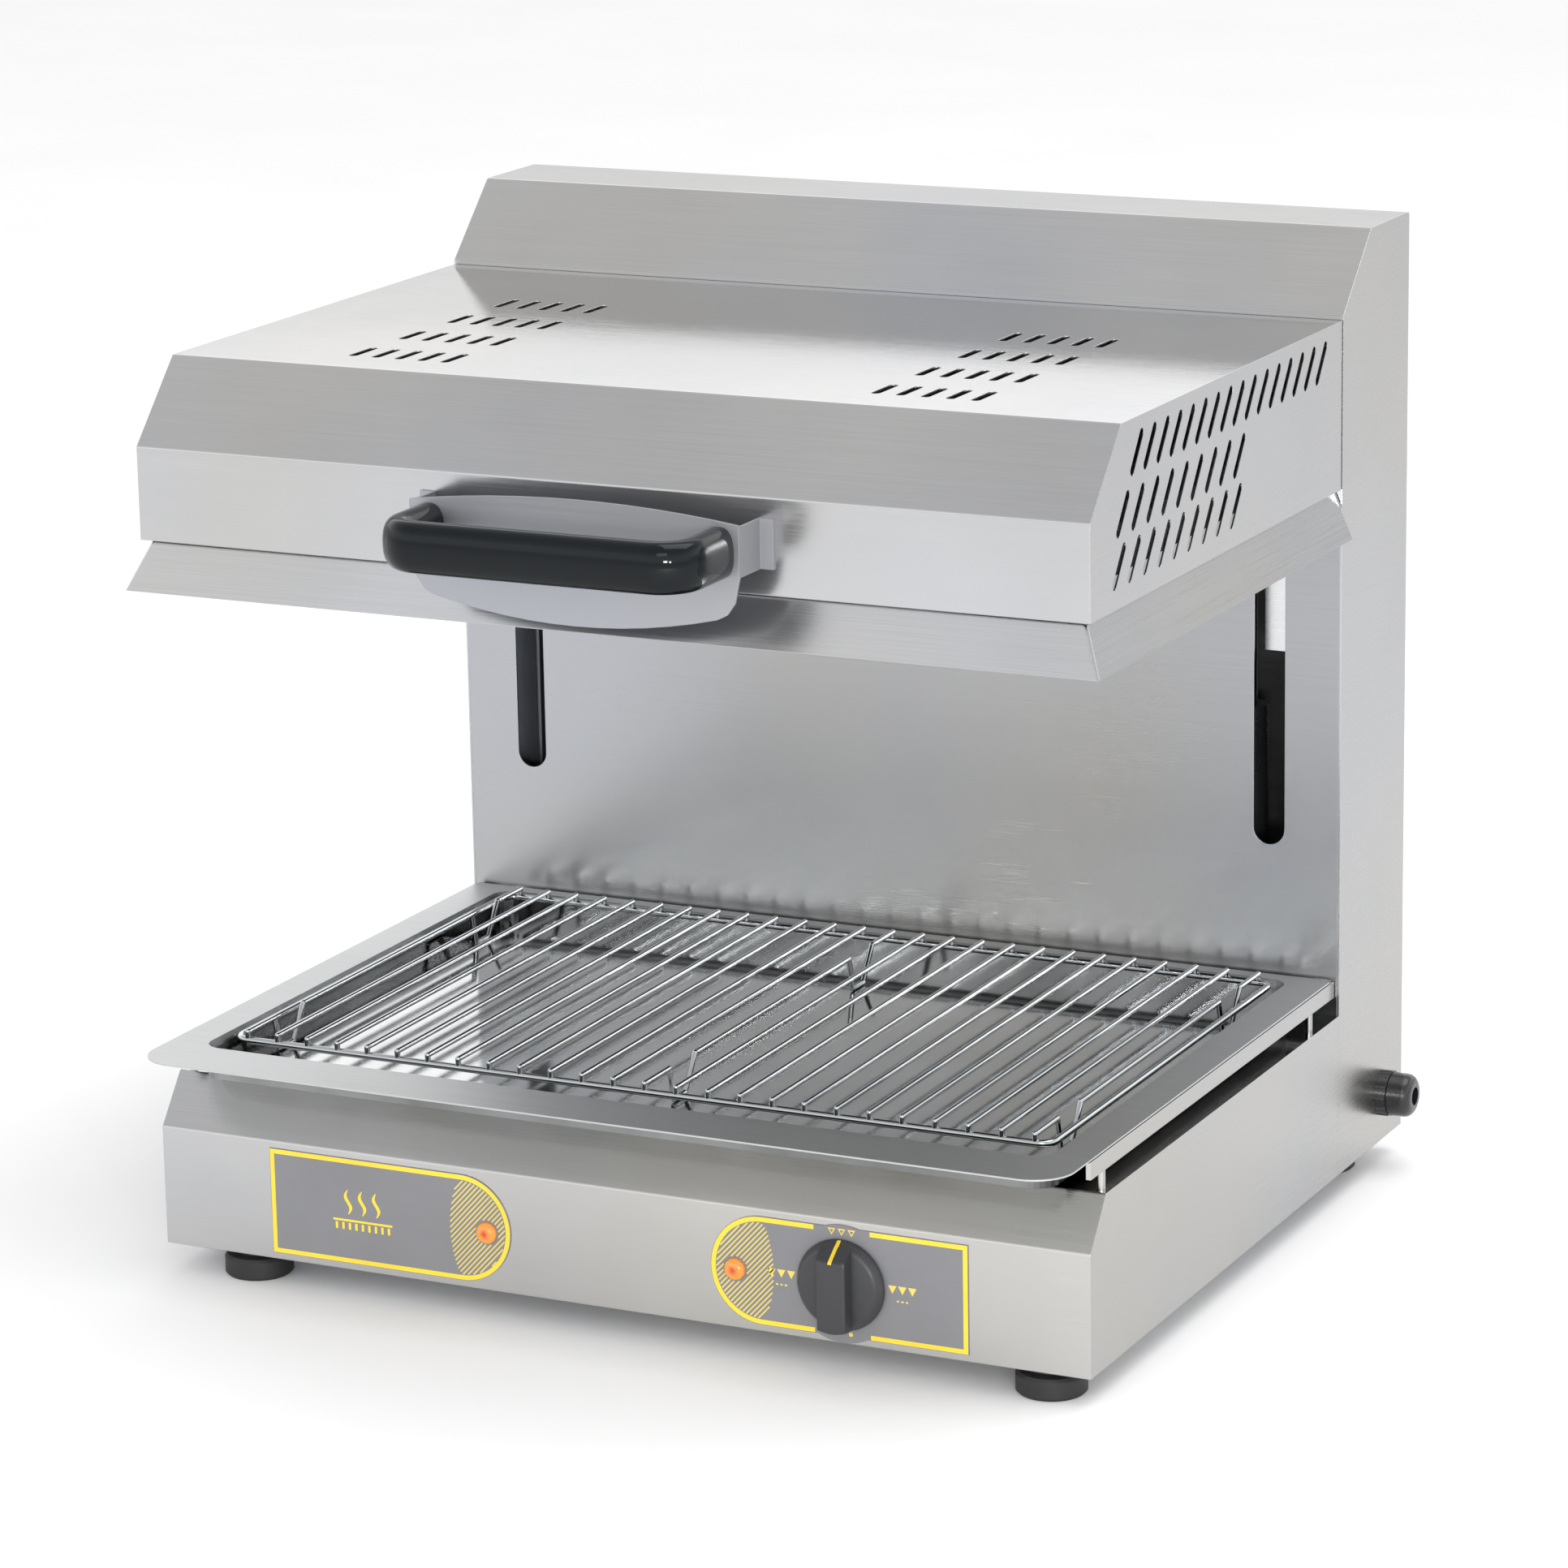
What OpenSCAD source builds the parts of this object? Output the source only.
// Electric rise-and-fall grill (salamander): a low base with a drip tray and a wire grid,
// a column behind it, and a heated hood that slides up and down on the column.
// Body axes: X to the right, Y from the front face to the back, Z up from the base's underside.
// placed() then moves everything so that the origin is under the middle of the whole grill.

/* [Body] */
// Width of the base and of the column
body_w = 600; // [590:1:620]
// Depth of the base, from its front face to the column
base_d = 389; // [385:1:395]
// Height of the base's upright front face
base_front_h = 73; // [72:0.5:78]
// Height of the base's flat top deck
deck_h = 102; // [100:0.5:104]
// How far the sloping strip below the deck runs back
base_slope_d = 22.5; // [18:0.5:28]
// Depth of the column
column_d = 112.4; // [110:0.1:125]
// Height of the column
column_h = 579.5; // [575:0.5:600]
// Height at which the column's front starts to slope back
column_slope_z = 534; // [533:0.5:540]
// How far the column's sloping face runs back
column_slope_d = 46.7; // [40:0.1:50]
// Thickness of the stainless sheet
sheet = 1.2; // [1:0.1:1.5]
// Outer radius of the bends in the sheet
bend_r = 2.4; // [1.8:0.1:3]
// Height of the feet below the base
foot_h = 17; // [15:0.5:25]
// Radius of a foot
foot_r = 20.5; // [18:0.5:22]

/* [Hood] */
// Width of the hood
hood_w = 599; // [590:1:600]
// Distance of the hood's front face behind the base's front face
hood_y = 5.2; // [2:0.1:10]
// Height of the hood's lower edge when the hood is fully up
hood_z0 = 429.4; // [427:0.1:431]
// Height of the bend between the hood's upright front and its slope
hood_z1 = 484.6; // [483:0.1:487]
// Height of the hood's top
hood_top = 531.3; // [530:0.1:532]
// How far the hood's front slope runs back
hood_slope_d = 43.8; // [38:0.1:48]
// How far the hood slides down
travel = 222; // [150:1:222]
// Height of the heat deflector that hangs below the hood
skirt_h = 28.2; // [20:0.1:30]
// How far the deflector flares outwards
skirt_flare = 12.3; // [6:0.1:14]

/* [Tray and grid] */
// Half the width of the tray's rim
rim_half_w = 296; // [290:1:297]
// Height of the top of the tray's rim
rim_z = 125; // [123:0.5:126]
// How far the rim reaches in front of the base's front face
rim_front = 36; // [20:1:40]
// Depth of the tray's pan below its rim
pan_depth = 18; // [14:0.5:19]
// Number of bars in the grid
bar_count = 26; // [26:1:26]
// Distance between the bars
bar_pitch = 20.4; // [20:0.1:20.6]
// Radius of a bar
bar_r = 1.7; // [1.5:0.1:2]
// Radius of the frame wire
frame_wire_r = 2.2; // [2:0.1:2.5]

/* [Handle] */
// Distance of the handle's two legs from the middle
grip_leg_x = 90.5; // [84:0.5:92]
// Height of the handle's section
grip_h = 29.5; // [26:0.5:30]
// Depth of the handle's section
grip_d = 19; // [16:1:20]
// Distance of the handle's shield in front of the hood
shield_gap = 28; // [24:1:30]

/* [Controls] */
// Distance of the selector knob's axis from the middle
knob_x = 148; // [140:1:150]
// Height of the knobs' and lamps' axes
control_z = 35.5; // [34:0.5:37]
// Radius of the selector knob's skirt
knob_r = 27; // [24:0.5:28]
// Distance of the pilot lamps from the middle
lamp_x = 80.6; // [79:0.1:85]
// Radius of the cable gland's bore
cord_bore_r = 5.5; // [4.5:0.1:6]

/* [Hidden] */
$fn = 48;

STEEL = "#c9cacc";
STEEL_DARK = "#9b9c9f";
CHROME = "#dfe2e4";
BLACK = "#1b1b1d";
CHARCOAL = "#3b3c40";
LABEL_GREY = "#808184";
AMBER = "#f08a1e";
IRON = "#6a6259";
WHITE = "#efece4";

half_w = body_w / 2;
inner_w = body_w - 2 * sheet;
back_y = base_d + column_d;
open_by = 10;                       // how far a hollow is cut past an open side

// Column and lift
slot_x = 254;                       // distance of the lift slots from the middle
slot_w = 20;
slot_z0 = 206;
slot_z1 = 500;
arm_t = 6;
arm_x = slot_x - arm_t / 2;
arm_z0 = 432;
arm_h = 60;
arm_play = 0.5;
arm_y0 = 378;
arm_flange_w = 22;
carriage_t = 3;
carriage_x0 = 246;
carriage_x1 = 290;
carriage_y = 402;
carriage_z0 = 324;
carriage_z1 = 520;
guide_x = 272;                      // middle of each guide channel
roller_r = 12;
roller_bore_r = 4.05;
axle_r = 4;
axle_play = 0.4;                    // at each end of a roller
roller_y0 = 411;
roller_w = 12;
roller_zs = [346, 498];
guide_y0 = 409;
guide_y1 = 427;
guide_z0 = 100;
guide_z1 = 540;
guide_wall = 2;
guide_play = 0.3;
rest_gap = 0.3;                     // between the tray, its rails and the grid's feet
spring_x = 222;
spring_y = 440;
tube_r = 11;
tube_bore_r = 9.5;
tube_z0 = 30;
tube_z1 = 280;
tube_end_t = 3;
tube_bush_h = 8;
piston_z = tube_z1 - 22;
stud_r = 3;                         // threaded ends of the gas springs
rod_r = 4;
shelf_z = 508;
shelf_t = 4;
back_head_h = 2.2;                  // height of the back panel's screw heads
screw_zs = [40, 170, 300, 430, 545];
screw_x = half_w - sheet - 8;
flange_w = 16;                      // width of the column's rear flanges

// Hood
hood_back = base_d - 1;
hood_half_w = hood_w / 2;
rear_wall_y = hood_back - sheet;
skirt_gap = 1;
skirt_inset = 4.5;                  // how far the top of the deflector stands inside the hood
skirt_half_top = hood_half_w - skirt_inset;
skirt_y = hood_y + skirt_inset;
skirt_flange_h = 9;
skirt_t = 1;
skirt_corner_r = 2;
vent_w = 5.6;
vent_l = 23;
vent_lean = 36.3;
reflector_z = 470;
shell_half_in = hood_half_w - sheet;
shell_y_in = hood_y + sheet;
liner_half_w = 287;                 // half the width of the reflector
liner_y0 = shell_y_in;
liner_y1 = 376;
liner_t = 1;
liner_tab_x = 120;                  // the two tabs that hold the reflector's rear edge
liner_tab_w = 30;
element_r = 4;
element_z = 450;
reflector_low = element_z - 8;
element_pitch = 88;
element_bend_r = 20;
element_y0 = 62;
element_x0 = -250;
element_x1 = 258;
support_xs = [-235, 235];

// Tray, rails and grid
rail_x = 294;
rail_t = 3;
rail_h = 10;
rail_post_r = 2.2;
rail_y0 = 8;
rail_post_ys = [29, 352];
rim_t = 1;
rail_top = rim_z - rim_t - rest_gap;
rim_back = base_d - 3;
pan_half_w = 273;
pan_y0 = 4;
pan_y1 = 376;
pan_wall = 1;
pan_floor_z = rim_z - pan_depth;
grid_z = 124;                       // centre of the frame wire
grid_half_w = 264;
grid_y0 = 28;
grid_y1 = 369;
grid_corner_r = 9;
bar_z = grid_z + 5.3;               // centre of the bars
first_bar_x = -bar_pitch * (bar_count - 1) / 2;
dip_near = 31;                      // from the frame wire to the nearer end of a foot's dip
dip_far = 65;
dip_lean_front = 5;                 // how far the front and the rear leg of a dip lean in
dip_lean_rear = 14;
dip_bar_numbers = [0, 13, 25];
elbow_r = bar_r + 0.05;

// Handle
shield_t = 1.5;
shield_y = hood_y - shield_gap;     // front face of the shield
shield_half_l = 103;
shield_flap = 8;                    // width of the shield's fixing flaps
grip_reach = 47.5;                  // from the shield to the centre line of the front bar
grip_y = shield_y - grip_reach;
grip_z = 458;
grip_corner_r = 8.5;
grip_slice_t = 0.4;
grip_bend_r = 18;
grip_bend_angle = 90;
grip_leg_l = (grip_reach - grip_bend_r * (1 - cos(grip_bend_angle))) / sin(grip_bend_angle);
grip_half_l = grip_leg_x - grip_bend_r * sin(grip_bend_angle) - grip_leg_l * cos(grip_bend_angle);
grip_bolt_r = 3;
flange_z0 = 444.5;                  // the shield's side flaps
flange_z1 = 473;

// Controls
label_t = 0.6;
label_h = 65;
label_outer_x = 226;
label_end_x = 97.5;
neck_r = 5.2;                       // holes for the lamps' necks and the switch's bush
spindle_r = 3;
knob_gap = 0.6;
knob_depth = 16;
knob_bar_w = 19;
knob_bar_top = 18;                  // height of the bar's front edge above the axis
spindle_y0 = -12;
spindle_l = 34;
gland_y = 466;
gland_z = 31;
gland_flange_t = 7;
gland_l = 22;

foot_places = [[-248, 19], [268, 19], [-250, 452], [266, 452]];

// The whole grill's box, which the origin is taken from
x_low = -(skirt_half_top + skirt_flare);
x_high = half_w + gland_l;
y_low = grip_y - grip_d / 2;
y_high = back_y + back_head_h;

module placed() translate([-(x_low + x_high) / 2, -(y_low + y_high) / 2, foot_h]) children();

// --- Outlines ---------------------------------------------------------------------------------

function unit(v) = v / norm(v);

// Points along an arc about c, from angle a to angle b
function arc(c, r, a, b, n = 8) =
    [for (i = [0:n]) let (t = a + (b - a) * i / n) c + r * [cos(t), sin(t)]];

// The corner p between a and b, rounded to radius r
function corner(a, p, b, r, n) =
    r == 0 ? [p] :
    let (u = unit(a - p), v = unit(b - p), half = acos(u * v) / 2,
         c = p + unit(u + v) * r / sin(half), start = p + u * r / tan(half) - c,
         a0 = atan2(start.y, start.x), turn = sign(cross(v, u)) * (180 - 2 * half))
    arc(c, r, a0, a0 + turn, n);

// An outline with each corner rounded to its own radius
function rounded(pts, radii, n = 4) =
    let (k = len(pts))
    [for (i = [0:k - 1]) each corner(pts[(i + k - 1) % k], pts[i], pts[(i + 1) % k], radii[i], n)];

// A convex outline, listed anticlockwise, with every edge moved inwards by t
function inset(pts, t) =
    let (k = len(pts))
    [for (i = [0:k - 1])
        let (a = unit(pts[i] - pts[(i + k - 1) % k]), b = unit(pts[(i + 1) % k] - pts[i]),
             na = [-a.y, a.x], nb = [-b.y, b.x])
        pts[i] + t * (na + nb) / (1 + na * nb)];

// Side outlines in (y, z); e lengthens the open sides
function base_outline(e) = [[0, -e], [base_d + e, -e], [base_d + e, deck_h],
    [base_slope_d, deck_h], [0, base_front_h]];
function column_outline(e) = [[base_d, -e], [back_y + e, -e], [back_y + e, column_h],
    [base_d + column_slope_d, column_h], [base_d, column_slope_z]];
function hood_outline(e) = [[hood_y, hood_z0 - e], [hood_back + e, hood_z0 - e],
    [hood_back + e, hood_top], [hood_y + hood_slope_d, hood_top], [hood_y, hood_z1]];

module along_x(w) rotate([90, 0, 90]) translate([0, 0, -w / 2]) linear_extrude(w) children();

// Cylinders along Y and along X, from a point towards the positive axis
module rod_y(p, r, l) translate(p) rotate([-90, 0, 0]) cylinder(r = r, h = l);
module rod_x(p, r, l) translate(p) rotate([0, 90, 0]) cylinder(r = r, h = l);
module hex_rod(across, l) cylinder(d = across / cos(30), h = l, $fn = 6);
module hex_rod_y(p, across, l) translate(p) rotate([-90, 0, 0]) hex_rod(across, l);
module hex_rod_x(p, across, l) translate(p) rotate([0, 90, 0]) hex_rod(across, l);

// A box between two corners
module box(a, b) translate(a) cube(b - a);

// A slot with round ends, centred, l between the ends' centres
module slot2d(w, l) {
    square([w, l], center = true);
    for (s = [-1, 1]) translate([0, s * l / 2]) circle(d = w);
}

module round_rect2d(a, b, r) polygon(rounded([a, [b.x, a.y], b, [a.x, b.y]], [r, r, r, r], 6));

// Draws its children at the right, or mirrored at the left
module side(s) { if (s > 0) children(); else mirror([1, 0, 0]) children(); }

// --- Base -------------------------------------------------------------------------------------

module base_shell() color(STEEL) difference() {
    along_x(body_w) polygon(rounded(base_outline(0), [0, 0, 0, bend_r, bend_r]));
    along_x(inner_w) polygon(rounded(inset(base_outline(open_by), sheet),
        [0, 0, 0, bend_r - sheet, bend_r - sheet]));
    for (x = [-lamp_x, lamp_x, knob_x]) rod_y([x, -1, control_z], neck_r, sheet + 2);
}

module base_floor() color(STEEL_DARK) difference() {
    box([-inner_w / 2, sheet, 0], [inner_w / 2, back_y - sheet, sheet]);
    for (p = foot_places) translate([p.x, p.y, -1]) cylinder(r = 4.3, h = sheet + 2);
    for (x = [-160:40:160], y = [120, 250]) translate([x, y, -1]) linear_extrude(sheet + 2) slot2d(6, 60);
}

// Moulded foot, wider at its floor face, with a collar under the floor plate
module foot(p) color(BLACK) translate([p.x, p.y, 0]) rotate_extrude()
    polygon([[4.3, -foot_h + 4], [4.3, 0], [13, 0], [14, -3], [foot_r - 1.5, -4], [foot_r, -6],
        [foot_r, -foot_h + 1.5], [foot_r - 1.5, -foot_h], [0, -foot_h], [0, -foot_h + 4]]);

module foot_stud(p) translate([p.x, p.y, 0]) {
    translate([0, 0, -foot_h + 4]) cylinder(r = 4, h = foot_h + 8);
    translate([0, 0, sheet]) cylinder(d = 13 / cos(30), h = 6, $fn = 6);
}

module foot_studs() color(CHROME) for (p = foot_places) foot_stud(p);

// Bar that carries the tray's rim, on two short posts
module tray_rail(s) color(STEEL) side(s) {
    box([rail_x, rail_y0, rail_top - rail_h], [rail_x + rail_t, base_d - 1, rail_top]);
    for (y = rail_post_ys)
        translate([rail_x + 0.5, y, deck_h]) cylinder(r = rail_post_r, h = rail_top - rail_h / 2 - deck_h);
}

// --- Column -----------------------------------------------------------------------------------

module column_shell() color(STEEL) difference() {
    union() {
        difference() {
            along_x(body_w) polygon(rounded(column_outline(0), [0, 0, bend_r, bend_r, 0]));
            along_x(inner_w) polygon(rounded(inset(column_outline(open_by), sheet),
                [0, 0, bend_r - sheet, bend_r - sheet, 0]));
            box([-inner_w / 2, base_d - 1, -1], [inner_w / 2, base_d + 2 * sheet, column_slope_z]);
            box([-inner_w / 2, back_y - 2, -1], [inner_w / 2, back_y + 1, column_h - sheet]);
        }
        for (s = [-1, 1]) side(s) box([half_w - sheet - flange_w, back_y - 2 * sheet, 10],
            [half_w - sheet, back_y - sheet, column_h - 2 * sheet]);
    }
    for (s = [-1, 1], z = screw_zs) rod_y([s * screw_x, back_y - 4, z], 2.05, 6);
    rod_x([half_w - 4, gland_y, gland_z], 10.2, 6);
}

module column_front_panel() color(STEEL) difference() {
    box([-inner_w / 2, base_d, deck_h], [inner_w / 2, base_d + sheet, column_slope_z]);
    for (x = [-slot_x, slot_x]) translate([x, base_d - 1, (slot_z0 + slot_z1) / 2])
        rotate([-90, 0, 0]) linear_extrude(sheet + 2) slot2d(slot_w, slot_z1 - slot_z0 - slot_w);
}

module column_back_panel() color(STEEL_DARK) difference() {
    box([-inner_w / 2, back_y - sheet, sheet], [inner_w / 2, back_y, column_h - sheet]);
    for (s = [-1, 1], z = screw_zs) rod_y([s * screw_x, back_y - 3, z], 2.2, 5);
    for (x = [-150, 150], row = [0:5]) translate([x, back_y - 3, 430 + row * 14]) rotate([-90, 90, 0])
        linear_extrude(5) slot2d(5, 110);
}

module back_panel_screws() color(CHROME) for (s = [-1, 1], z = screw_zs) {
    rod_y([s * screw_x, back_y - 8, z], 2, 8);
    translate([s * screw_x, back_y, z]) rotate([-90, 0, 0]) difference() {
        cylinder(r1 = 4, r2 = 3, h = back_head_h);
        for (a = [0, 90]) rotate([0, 0, a]) translate([-2, -0.4, 1.2]) cube([4, 0.8, 2]);
    }
}

// Upright channel that the two rollers of a carriage run in
module guide_channel(s) color(STEEL_DARK) side(s) {
    reach = roller_r + guide_play;
    guide_section(reach);
    box([guide_x + reach, guide_y1 - guide_wall, guide_z0], [half_w - sheet, guide_y1, guide_z1]);
}

module guide_section(reach) difference() {
    box([guide_x - reach - guide_wall, guide_y0, guide_z0],
        [guide_x + reach + guide_wall, guide_y1, guide_z1]);
    box([guide_x - reach, guide_y0 - 1, guide_z0 - 1],
        [guide_x + reach, guide_y1 - guide_wall, guide_z1 + 1]);
}

// Gas spring: tube with a bottom cap, and a bush at its top that the rod slides in
module gas_spring_tube(s) color(BLACK) side(s) translate([spring_x, spring_y, 0]) {
    rotate_extrude() polygon([[0, tube_z0], [tube_r, tube_z0], [tube_r, tube_z1], [rod_r + 0.05, tube_z1],
        [rod_r + 0.05, tube_z1 - tube_bush_h], [tube_bore_r, tube_z1 - tube_bush_h],
        [tube_bore_r, tube_z0 + tube_end_t], [0, tube_z0 + tube_end_t]]);
    translate([0, 0, tube_z0 - 12]) cylinder(r = stud_r, h = 12);
}

module gas_spring_rod(s) color(CHROME) side(s) translate([spring_x, spring_y, 0]) {
    translate([0, 0, piston_z]) cylinder(r = tube_bore_r - 0.05, h = 8);
    translate([0, 0, piston_z]) cylinder(r = rod_r, h = shelf_z - piston_z);
    translate([0, 0, shelf_z]) cylinder(r = stud_r, h = 14);
}

// Folded bracket under each gas spring
module spring_anchors() color(STEEL_DARK) for (s = [-1, 1]) side(s) translate([spring_x, spring_y, 0])
    difference() {
        box([-18, -14, sheet], [18, 14, tube_z0]);
        box([-15, -15, 0], [15, 15, tube_z0 - 3]);
        translate([0, 0, tube_z0 - 5]) cylinder(r = stud_r + 0.1, h = 10);
    }

module rod_nuts() color(CHROME) for (s = [-1, 1]) side(s) translate([spring_x, spring_y, shelf_z + shelf_t])
    difference() {
        cylinder(d = 10 / cos(30), h = 5, $fn = 6);
        translate([0, 0, -1]) cylinder(r = stud_r + 0.05, h = 7);
    }

// --- Cable gland ------------------------------------------------------------------------------

module gland_body() color(BLACK) difference() {
    union() {
        rod_x([half_w, gland_y, gland_z], 14, gland_flange_t);
        for (i = [0:11]) translate([half_w, gland_y, gland_z]) rotate([i * 30, 0, 0])
            translate([0, 0, 13.6]) rotate([0, 90, 0]) cylinder(r = 1, h = gland_flange_t);
        rod_x([half_w - 12, gland_y, gland_z], 10, 12);
    }
    rod_x([half_w - 13, gland_y, gland_z], 8, gland_flange_t + 14);
}

module gland_dome_nut() color(BLACK)
    translate([half_w + gland_flange_t, gland_y, gland_z]) rotate([0, 90, 0]) rotate_extrude()
    polygon(concat([[cord_bore_r + 0.2, gland_l - gland_flange_t], [cord_bore_r + 0.2, 11], [8, 9], [8, 0],
        [13.2, 0], [13.6, 0.6]], arc([7.6, gland_l - gland_flange_t - 6], 6, 0, 90)));

module gland_seal() color(CHARCOAL) difference() {
    rod_x([half_w - 2, gland_y, gland_z], 8, gland_flange_t + 11);
    rod_x([half_w - 3, gland_y, gland_z], cord_bore_r, gland_flange_t + 13);
}

module gland_lock_nut() color(BLACK) difference() {
    hex_rod_x([half_w - sheet - 5, gland_y, gland_z], 26, 5);
    rod_x([half_w - sheet - 6, gland_y, gland_z], 10.05, 7);
}

// --- Controls ---------------------------------------------------------------------------------

// Label outline: square at its outer end, round at its inner end
module label2d() {
    r = label_h / 2;
    translate([label_end_x, control_z + 1 - r]) square([label_outer_x - label_end_x, label_h]);
    translate([label_end_x, control_z + 1]) circle(r = r, $fn = 96);
}

module label(s) color(LABEL_GREY) difference() {
    rotate([90, 0, 0]) linear_extrude(label_t) union() {
        if (s > 0) { label2d(); translate([knob_x, control_z]) circle(r = 35.2, $fn = 96); }
        else mirror([1, 0]) label2d();
    }
    rod_y([s * lamp_x, -label_t - 1, control_z], neck_r, label_t + 2);
    if (s > 0) rod_y([knob_x, -label_t - 1, control_z], neck_r, label_t + 2);
}

// Domed lens on a bezel, with a neck through the front panel
module pilot_lens(s) color(AMBER)
    translate([s * lamp_x, -label_t, control_z]) rotate([90, 0, 0]) rotate_extrude()
    polygon(concat([[0, -9], [5, -9], [5, 0], [6.6, 0]], arc([3.6, 0.6], 3, 0, 90, 6), [[0, 3.9]]));

module pilot_bodies() color(WHITE) for (s = [-1, 1]) rod_y([s * lamp_x, 9 - label_t, control_z], 6.5, 22);

// Four-way rotary switch with its bush and the bore that the spindle turns in
module rotary_switch() color(WHITE) difference() {
    union() {
        box([knob_x - 20, sheet, control_z - 20], [knob_x + 20, 34, control_z + 20]);
        rod_y([knob_x, -label_t + 0.2, control_z], 5, sheet + 2);
    }
    rod_y([knob_x, -1, control_z], spindle_r + 0.05, 26);
}

module selector_spindle() color(CHROME) rod_y([knob_x, spindle_y0, control_z], spindle_r, spindle_l);

// Round skirt with an upright grip bar across it; the bar's top slopes back to the skirt
module selector_knob() color(CHARCOAL) difference() {
    translate([knob_x, -label_t - knob_gap, control_z]) rotate([90, 0, 0]) {
        rotate_extrude()
            polygon([[0, 0], [knob_r, 0], [knob_r, 2.4], [knob_r - 2, 5.4], [knob_r - 4, 7], [0, 7]]);
        intersection() {
            linear_extrude(knob_depth) intersection() {
                translate([-knob_bar_w / 2, -knob_r]) square([knob_bar_w, 2 * knob_r]);
                circle(r = knob_r - 1);
            }
            along_x(2 * knob_bar_w) polygon([[-knob_r, 0], [knob_r - 1, 0], [knob_r - 1, 6],
                [knob_bar_top, knob_depth], [-knob_r, knob_depth]]);
        }
    }
    rod_y([knob_x, spindle_y0, control_z], spindle_r, -spindle_y0);
}

module terminal_block() color(WHITE) difference() {
    box([215, 470, sheet], [275, 492, 34]);
    for (x = [225:10:265], y = [475, 487]) translate([x, y, 26]) cylinder(r = 2.5, h = 10);
}

// --- Hood -------------------------------------------------------------------------------------

// Leaning ventilation slots in the hood's sides, as (y, z) of a row's first slot, pitch and number
side_vent_rows = [[70.9, 511.6, 18.85, 16], [50.9, 480.9, 21.5, 9], [45.6, 452.9, 21.5, 9]];
top_vent_ys = [95.4, 153.9, 212.4, 270.9];
top_vent_x = 198;
top_vent_pitch = 15.2;
top_vent_w = 5.5;
top_vent_l = 23;

module side_vents2d() for (row = side_vent_rows, i = [0:row[3] - 1])
    translate([row[0] + i * row[2], row[1]]) rotate(-vent_lean) slot2d(vent_w, vent_l);

module hood_shell() color(STEEL) difference() {
    along_x(hood_w) polygon(rounded(hood_outline(0), [0, 0, 0, bend_r, bend_r]));
    along_x(hood_w - 2 * sheet) polygon(rounded(inset(hood_outline(open_by), sheet),
        [0, 0, 0, bend_r - sheet, bend_r - sheet]));
    along_x(hood_w + 2) side_vents2d();
    for (s = [-1, 1], i = [0:4], y = top_vent_ys)
        translate([s * (top_vent_x - i * top_vent_pitch), y, hood_top - sheet - 1])
        linear_extrude(sheet + 2) slot2d(top_vent_w, top_vent_l);
}

module hood_rear_wall() color(STEEL_DARK) difference() {
    box([-hood_half_w + sheet, rear_wall_y, hood_z0], [hood_half_w - sheet, hood_back, hood_top - sheet]);
    for (s = [-1, 1]) side(s)
        box([arm_x - arm_play, rear_wall_y - 1, arm_z0 - arm_play],
            [arm_x + arm_t + arm_play, hood_back + 1, arm_z0 + arm_h + arm_play]);
}

// Bright pan above the elements, open below, hung from the hood's front and from two rear tabs
module hood_reflector() color(CHROME) {
    difference() {
        box([-liner_half_w, liner_y0, reflector_low], [liner_half_w, liner_y1, reflector_z]);
        box([-liner_half_w + liner_t, liner_y0 + liner_t, reflector_low - 1],
            [liner_half_w - liner_t, liner_y1 - liner_t, reflector_z - liner_t]);
    }
    for (x = [-liner_tab_x, liner_tab_x])
        box([x - liner_tab_w / 2, liner_y1 - liner_t, reflector_z - liner_t],
            [x + liner_tab_w / 2, rear_wall_y, reflector_z]);
}

// Flared strip round the front and the sides, on an upright flange inside the hood
module skirt_body(t) {
    top = hood_z0 - skirt_gap;
    hull() for (level = [0, 1]) {
        grow = skirt_flare * (1 - level) - t;
        half_l = skirt_half_top + grow;
        past = t > 0 ? (level - 0.5) * 0.2 : 0;
        translate([0, 0, top - skirt_h * (1 - level) + past]) linear_extrude(0.01)
            polygon(rounded([[-half_l, skirt_y - grow], [half_l, skirt_y - grow],
                [half_l, rear_wall_y + t], [-half_l, rear_wall_y + t]],
                [skirt_corner_r, skirt_corner_r, 0, 0]));
    }
}

module deflector_skirt() color(STEEL) {
    top = hood_z0 + skirt_flange_h;
    difference() { skirt_body(0); skirt_body(skirt_t); }
    skirt_band(skirt_half_top, skirt_y, hood_z0 - skirt_gap, top);
    skirt_band(shell_half_in, shell_y_in, top - skirt_t, top);
}

// Band round the inside of the hood, out to half width half_l and to front face y0
module skirt_band(half_l, y0, low, high) difference() {
    box([-half_l, y0, low], [half_l, rear_wall_y, high]);
    box([-skirt_half_top + skirt_t, skirt_y + skirt_t, low - 1],
        [skirt_half_top - skirt_t, hood_back, high + 1]);
}

// Hairpin tubular element, lying along X
module heating_element(i) color(IRON) {
    y = element_y0 + i * element_pitch;
    for (s = [-1, 1])
        rod_x([element_x0, y + s * element_bend_r, element_z], element_r, element_x1 - element_x0);
    translate([element_x0, y, element_z]) rotate([0, 0, 90]) rotate_extrude(angle = 180)
        translate([element_bend_r, 0]) circle(r = element_r);
}

module element_supports() color(STEEL_DARK) for (x = support_xs) difference() {
    box([x - 1, liner_y0 + liner_t, element_z - 7], [x + 1, liner_y1 - liner_t, reflector_z - liner_t]);
    for (i = [0:3], s = [-1, 1])
        rod_x([x - 2, element_y0 + i * element_pitch + s * element_bend_r, element_z], element_r + 0.3, 4);
}

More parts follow.
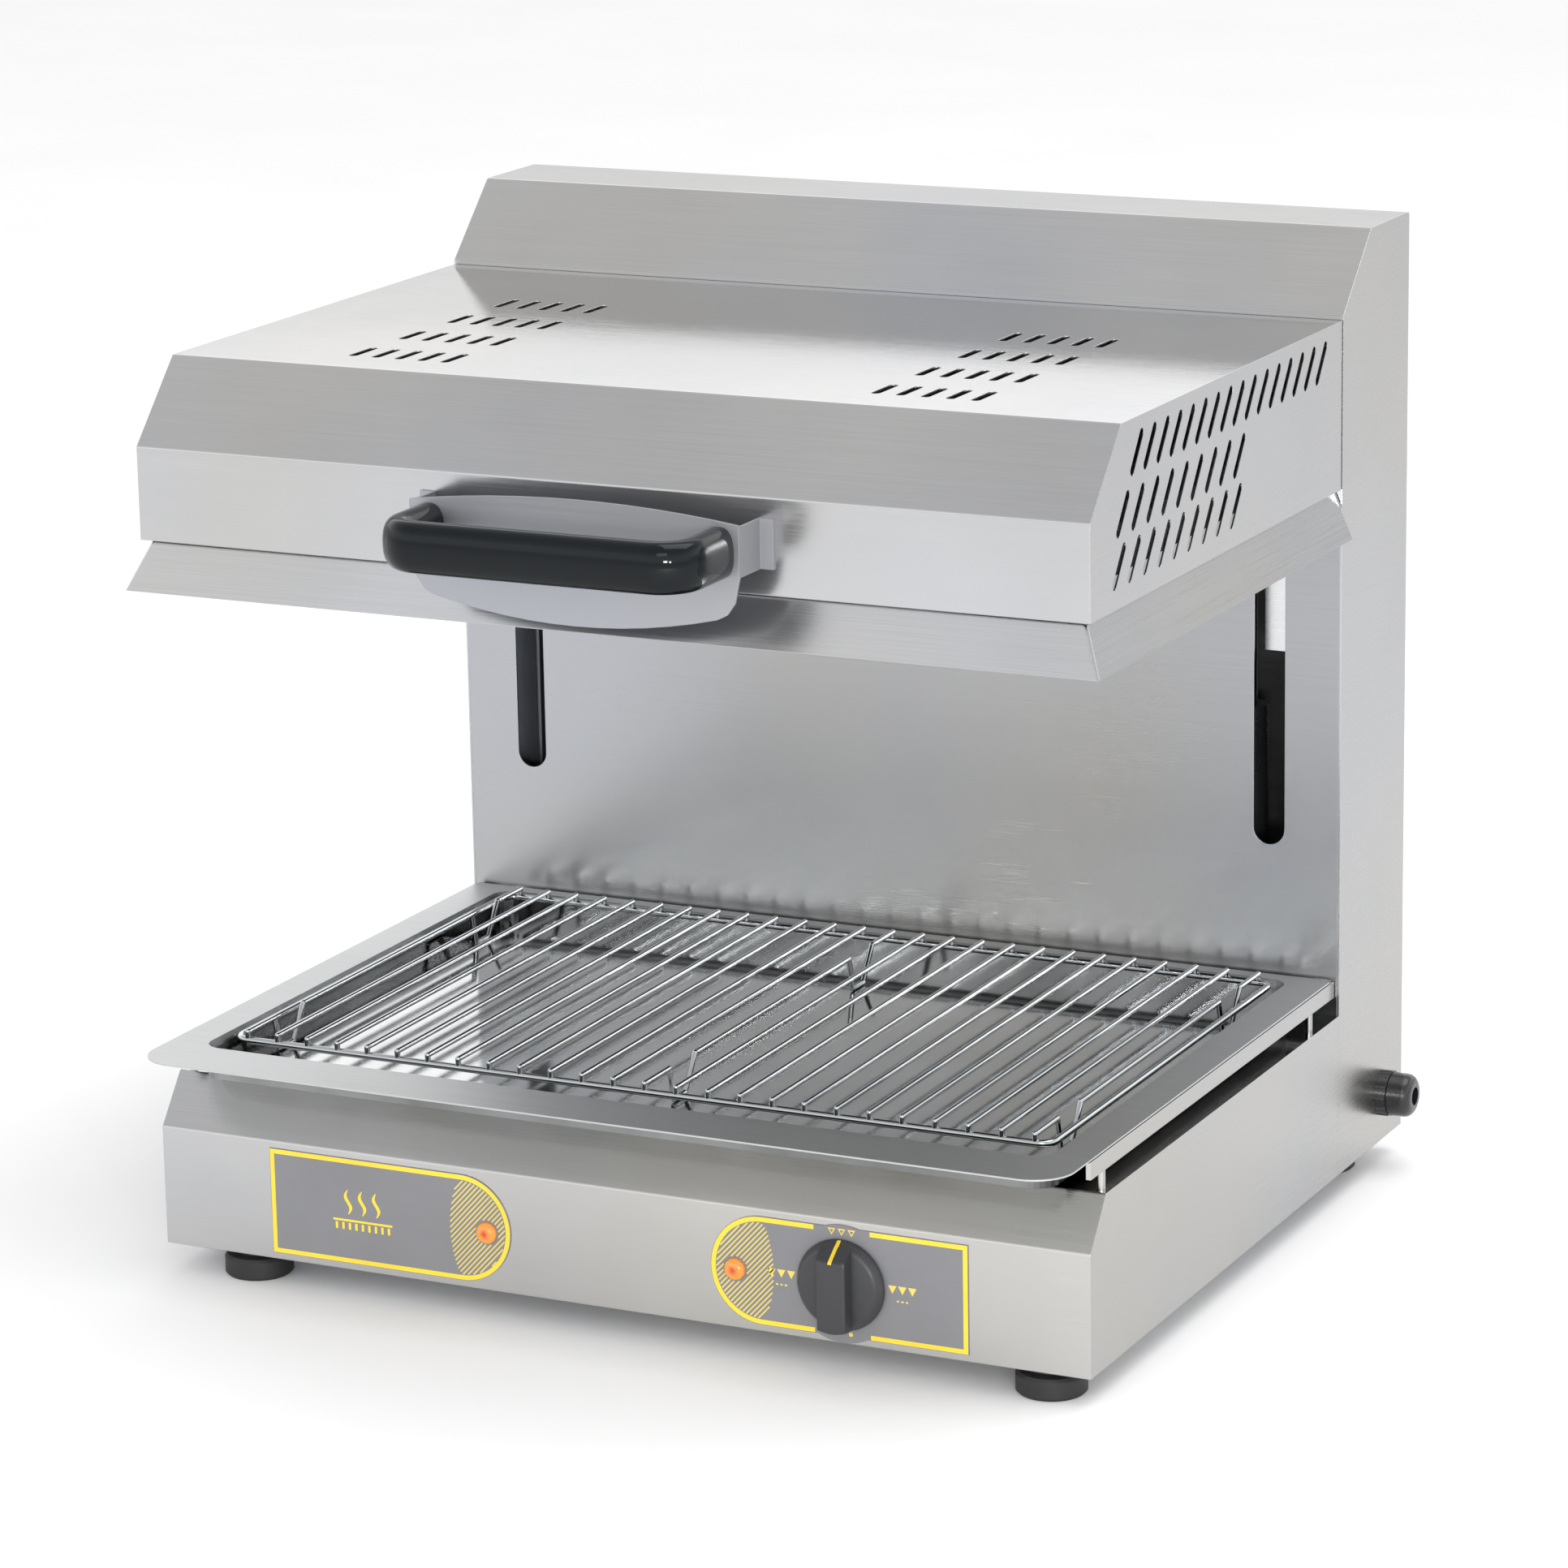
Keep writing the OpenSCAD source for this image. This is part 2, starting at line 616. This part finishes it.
module element_terminals() color(WHITE) for (i = [0:3], s = [-1, 1])
    translate([element_x1, element_y0 + i * element_pitch + s * element_bend_r, element_z]) {
        rod_x([0, 0, 0], 5.5, 12);
        rod_x([12, 0, 0], 2, 8);
    }

// --- Handle -----------------------------------------------------------------------------------

// Section of the grip, standing across its path: a tall rectangle with generous corners
module grip_slice() rotate([90, 0, 90]) linear_extrude(grip_slice_t, center = true) {
    d = grip_d / 2;
    h = grip_h / 2;
    polygon(rounded([[-d, -h], [d, -h], [d, h], [-d, h]],
        [grip_corner_r, grip_corner_r, grip_corner_r, grip_corner_r], 7));
}

// Slice at angle a round the bend at the right end, then l along the leg
module grip_station(a, l) translate([grip_half_l, grip_bend_r, 0]) rotate([0, 0, a])
    translate([l, -grip_bend_r, 0]) grip_slice();

// Front bar, a bend at each end and a leg that meets the shield
module handle_grip() color(BLACK) difference() {
    steps = 7;
    bend = [for (i = [0:steps]) grip_bend_angle * i / steps];
    translate([0, grip_y, grip_z]) {
        hull() for (s = [-1, 1]) side(s) grip_station(0, 0);
        for (s = [-1, 1]) side(s) {
            for (i = [1:steps]) hull() {
                grip_station(bend[i - 1], 0);
                grip_station(bend[i], 0);
            }
            hull() {
                grip_station(grip_bend_angle, 0);
                grip_station(grip_bend_angle, grip_leg_l + grip_d);
            }
        }
    }
    box([-200, shield_y, grip_z - grip_h], [200, shield_y + 2 * grip_d, grip_z + grip_h]);
}

// Outline of the shield in (x, z): both long edges bow outwards
function shield_outline() =
    let (top_mid = 481, top_end = 474, low_mid = 409, low_end = 420, side_end = 444, l = shield_half_l,
         top_r = (l * l + pow(top_mid - top_end, 2)) / (2 * (top_mid - top_end)),
         low_l = l - 14, low_r = (low_l * low_l + pow(low_end - low_mid, 2)) / (2 * (low_end - low_mid)),
         top_a = asin(l / top_r), low_a = asin(low_l / low_r))
    concat(arc([0, top_mid - top_r], top_r, 90 - top_a, 90 + top_a, 12),
        [[-l, side_end], [-l + 3, 430], [-l + 8, 423]],
        arc([0, low_mid + low_r], low_r, 270 - low_a, 270 + low_a, 12),
        [[l - 8, 423], [l - 3, 430], [l, side_end]]);

module handle_shield() color(STEEL) {
    difference() {
        translate([0, shield_y + shield_t, 0]) rotate([90, 0, 0])
            linear_extrude(shield_t) polygon(shield_outline());
        for (s = [-1, 1]) rod_y([s * grip_leg_x, shield_y - 1, grip_z], grip_bolt_r + 0.1, shield_t + 2);
    }
    for (s = [-1, 1]) side(s) {
        box([shield_half_l - shield_t, shield_y + shield_t, flange_z0], [shield_half_l, hood_y, flange_z1]);
        box([shield_half_l, hood_y - shield_t, flange_z0], [shield_half_l + shield_flap, hood_y, flange_z1]);
    }
}

// Bolts through the shield into the legs of the grip
module handle_bolts() color(CHROME) for (s = [-1, 1]) {
    hex_rod_y([s * grip_leg_x, shield_y + shield_t, grip_z], 10, 4);
    rod_y([s * grip_leg_x, shield_y, grip_z], grip_bolt_r, shield_t);
}

// --- Lift -------------------------------------------------------------------------------------

// Arm from the hood's rear wall through a slot to the carriage
module hood_arm(s) color(STEEL_DARK) side(s) {
    box([arm_x, arm_y0, arm_z0], [arm_x + arm_t, carriage_y, arm_z0 + arm_h]);
    box([arm_x - arm_flange_w, rear_wall_y - 3, arm_z0], [arm_x, rear_wall_y, arm_z0 + arm_h]);
}

// Upright plate with the rollers, and a shelf that the gas spring pushes up
module carriage(s) color(STEEL) side(s) difference() {
    union() {
        box([carriage_x0, carriage_y, carriage_z0], [carriage_x1, carriage_y + carriage_t, carriage_z1]);
        box([spring_x - 12, carriage_y, shelf_z], [carriage_x0 + 4, spring_y + 12, shelf_z + shelf_t]);
    }
    translate([spring_x, spring_y, shelf_z - 1]) cylinder(r = stud_r + 0.1, h = shelf_t + 2);
    for (z = roller_zs) rod_y([guide_x, carriage_y - 1, z], axle_r, carriage_t + 2);
}

module carriage_brace() color(STEEL_DARK)
    box([-carriage_x0 - 10, carriage_y + carriage_t, 455],
        [carriage_x0 + 10, carriage_y + 2 * carriage_t, 495]);

// Stub axles, riveted into the carriages
module roller_axles() color(CHROME) for (s = [-1, 1], z = roller_zs) side(s) {
    rod_y([guide_x, carriage_y, z], axle_r, roller_y0 + roller_w + axle_play + 1 - carriage_y);
    rod_y([guide_x, carriage_y - 2, z], 6, 2);
    rod_y([guide_x, carriage_y + carriage_t, z], 6, roller_y0 - axle_play - carriage_y - carriage_t);
    rod_y([guide_x, roller_y0 + roller_w + axle_play, z], 5.5, 1);
}

module roller(s, z) color(WHITE) difference() {
    rod_y([s * guide_x, roller_y0, z], roller_r, roller_w);
    rod_y([s * guide_x, roller_y0 - 1, z], roller_bore_r, roller_w + 2);
    for (a = [0:60:300]) translate([s * guide_x, roller_y0 - 1, z]) rotate([0, a, 0])
        rod_y([8, 0, 0], 1.4, 4);
}

// --- Tray and grid ----------------------------------------------------------------------------

module drip_tray() color(STEEL) difference() {
    union() {
        translate([0, 0, rim_z - rim_t]) linear_extrude(rim_t) polygon(rounded([[-rim_half_w, -rim_front],
            [rim_half_w, -rim_front], [rim_half_w, rim_back], [-rim_half_w, rim_back]], [24, 24, 4, 4], 8));
        translate([0, 0, pan_floor_z - pan_wall]) linear_extrude(pan_depth) round_rect2d(
            [-pan_half_w - pan_wall, pan_y0 - pan_wall], [pan_half_w + pan_wall, pan_y1 + pan_wall], 13);
    }
    translate([0, 0, pan_floor_z]) linear_extrude(pan_depth + 1)
        round_rect2d([-pan_half_w, pan_y0], [pan_half_w, pan_y1], 12);
}

// Closed wire loop with round corners
module wire_loop(half_l, y0, y1, corner_r, r) {
    for (x = [-half_l, half_l]) rod_y([x, y0 + corner_r, 0], r, y1 - y0 - 2 * corner_r);
    for (y = [y0, y1]) rod_x([-half_l + corner_r, y, 0], r, 2 * (half_l - corner_r));
    for (x = [-1, 1], y = [0, 1])
        translate([x * (half_l - corner_r), y == 0 ? y0 + corner_r : y1 - corner_r, 0])
        rotate([0, 0, x < 0 ? (y == 0 ? 180 : 90) : (y == 0 ? 270 : 0)])
        rotate_extrude(angle = 90) translate([corner_r, 0]) circle(r = r);
}

function is_dipped(i) = len(search(i, dip_bar_numbers)) > 0;

// Bars end in short posts that stand on the frame wire
module grid_bar(i) {
    x = first_bar_x + i * bar_pitch;
    stretches = is_dipped(i) ? [[grid_y0, grid_y0 + dip_near], [grid_y0 + dip_far, grid_y1 - dip_far],
        [grid_y1 - dip_near, grid_y1]] : [[grid_y0, grid_y1]];
    for (s = stretches) rod_y([x, s[0], bar_z], bar_r, s[1] - s[0]);
    for (y = [grid_y0, grid_y1]) translate([x, y, grid_z]) {
        cylinder(r = bar_r, h = bar_z - grid_z);
        translate([0, 0, bar_z - grid_z]) sphere(r = bar_r);
    }
}

module wire_grid() color(CHROME) {
    translate([0, 0, grid_z]) wire_loop(grid_half_w, grid_y0, grid_y1, grid_corner_r, frame_wire_r);
    for (i = [0:bar_count - 1]) grid_bar(i);
}

// Dip in a bar that stands on the floor of the tray: a steep front leg, a short sole and a leaning rear leg
module grid_foot(x, y0, y1) {
    sole_z = pan_floor_z + rest_gap + elbow_r;
    tops = [[y0, bar_z], [y1, bar_z]];
    soles = [[y0 + dip_lean_front, sole_z], [y1 - dip_lean_rear, sole_z]];
    for (k = [0, 1]) {
        leg = soles[k] - tops[k];
        translate([x, tops[k].x, tops[k].y]) sphere(r = elbow_r);
        translate([x, soles[k].x, soles[k].y]) sphere(r = elbow_r);
        translate([x, tops[k].x, tops[k].y]) rotate([atan2(-leg.x, leg.y), 0, 0])
            cylinder(r = bar_r, h = norm(leg));
    }
    rod_y([x, soles[0].x, sole_z], bar_r, soles[1].x - soles[0].x);
}

module grid_feet() color(CHROME) for (i = dip_bar_numbers) {
    x = first_bar_x + i * bar_pitch;
    grid_foot(x, grid_y0 + dip_near, grid_y0 + dip_far);
    grid_foot(x, grid_y1 - dip_far, grid_y1 - dip_near);
}

// --- One line per node ------------------------------------------------------------------------

placed() base_shell();
placed() base_floor();
placed() foot(foot_places[0]);  // foot_front_left
placed() foot(foot_places[1]);  // foot_front_right
placed() foot(foot_places[2]);  // foot_rear_left
placed() foot(foot_places[3]);  // foot_rear_right
placed() foot_studs();
placed() tray_rail(-1);  // tray_rail_left
placed() tray_rail(1);  // tray_rail_right
placed() column_shell();
placed() column_front_panel();
placed() column_back_panel();
placed() back_panel_screws();
placed() guide_channel(-1);  // guide_channel_left
placed() guide_channel(1);  // guide_channel_right
placed() gas_spring_tube(-1);  // gas_spring_tube_left
placed() gas_spring_tube(1);  // gas_spring_tube_right
placed() spring_anchors();
placed() gland_body();
placed() gland_dome_nut();
placed() gland_seal();
placed() gland_lock_nut();
placed() label(-1);  // label_left
placed() label(1);  // label_right
placed() pilot_lens(-1);  // pilot_lens_left
placed() pilot_lens(1);  // pilot_lens_right
placed() pilot_bodies();
placed() rotary_switch();
placed() terminal_block();
placed() hood_shell();
placed() hood_rear_wall();
placed() hood_reflector();
placed() deflector_skirt();
placed() heating_element(0);  // heating_element_1
placed() heating_element(1);  // heating_element_2
placed() heating_element(2);  // heating_element_3
placed() heating_element(3);  // heating_element_4
placed() element_supports();
placed() element_terminals();
placed() handle_grip();
placed() handle_shield();
placed() handle_bolts();
placed() hood_arm(-1);  // hood_arm_left
placed() hood_arm(1);  // hood_arm_right
placed() carriage(-1);  // carriage_left
placed() carriage(1);  // carriage_right
placed() carriage_brace();
placed() roller_axles();
placed() gas_spring_rod(-1);  // gas_spring_rod_left
placed() gas_spring_rod(1);  // gas_spring_rod_right
placed() rod_nuts();
placed() roller(-1, roller_zs[1]);  // roller_left_upper
placed() roller(-1, roller_zs[0]);  // roller_left_lower
placed() roller(1, roller_zs[1]);  // roller_right_upper
placed() roller(1, roller_zs[0]);  // roller_right_lower
placed() selector_knob();
placed() selector_spindle();
placed() drip_tray();
placed() wire_grid();
placed() grid_feet();
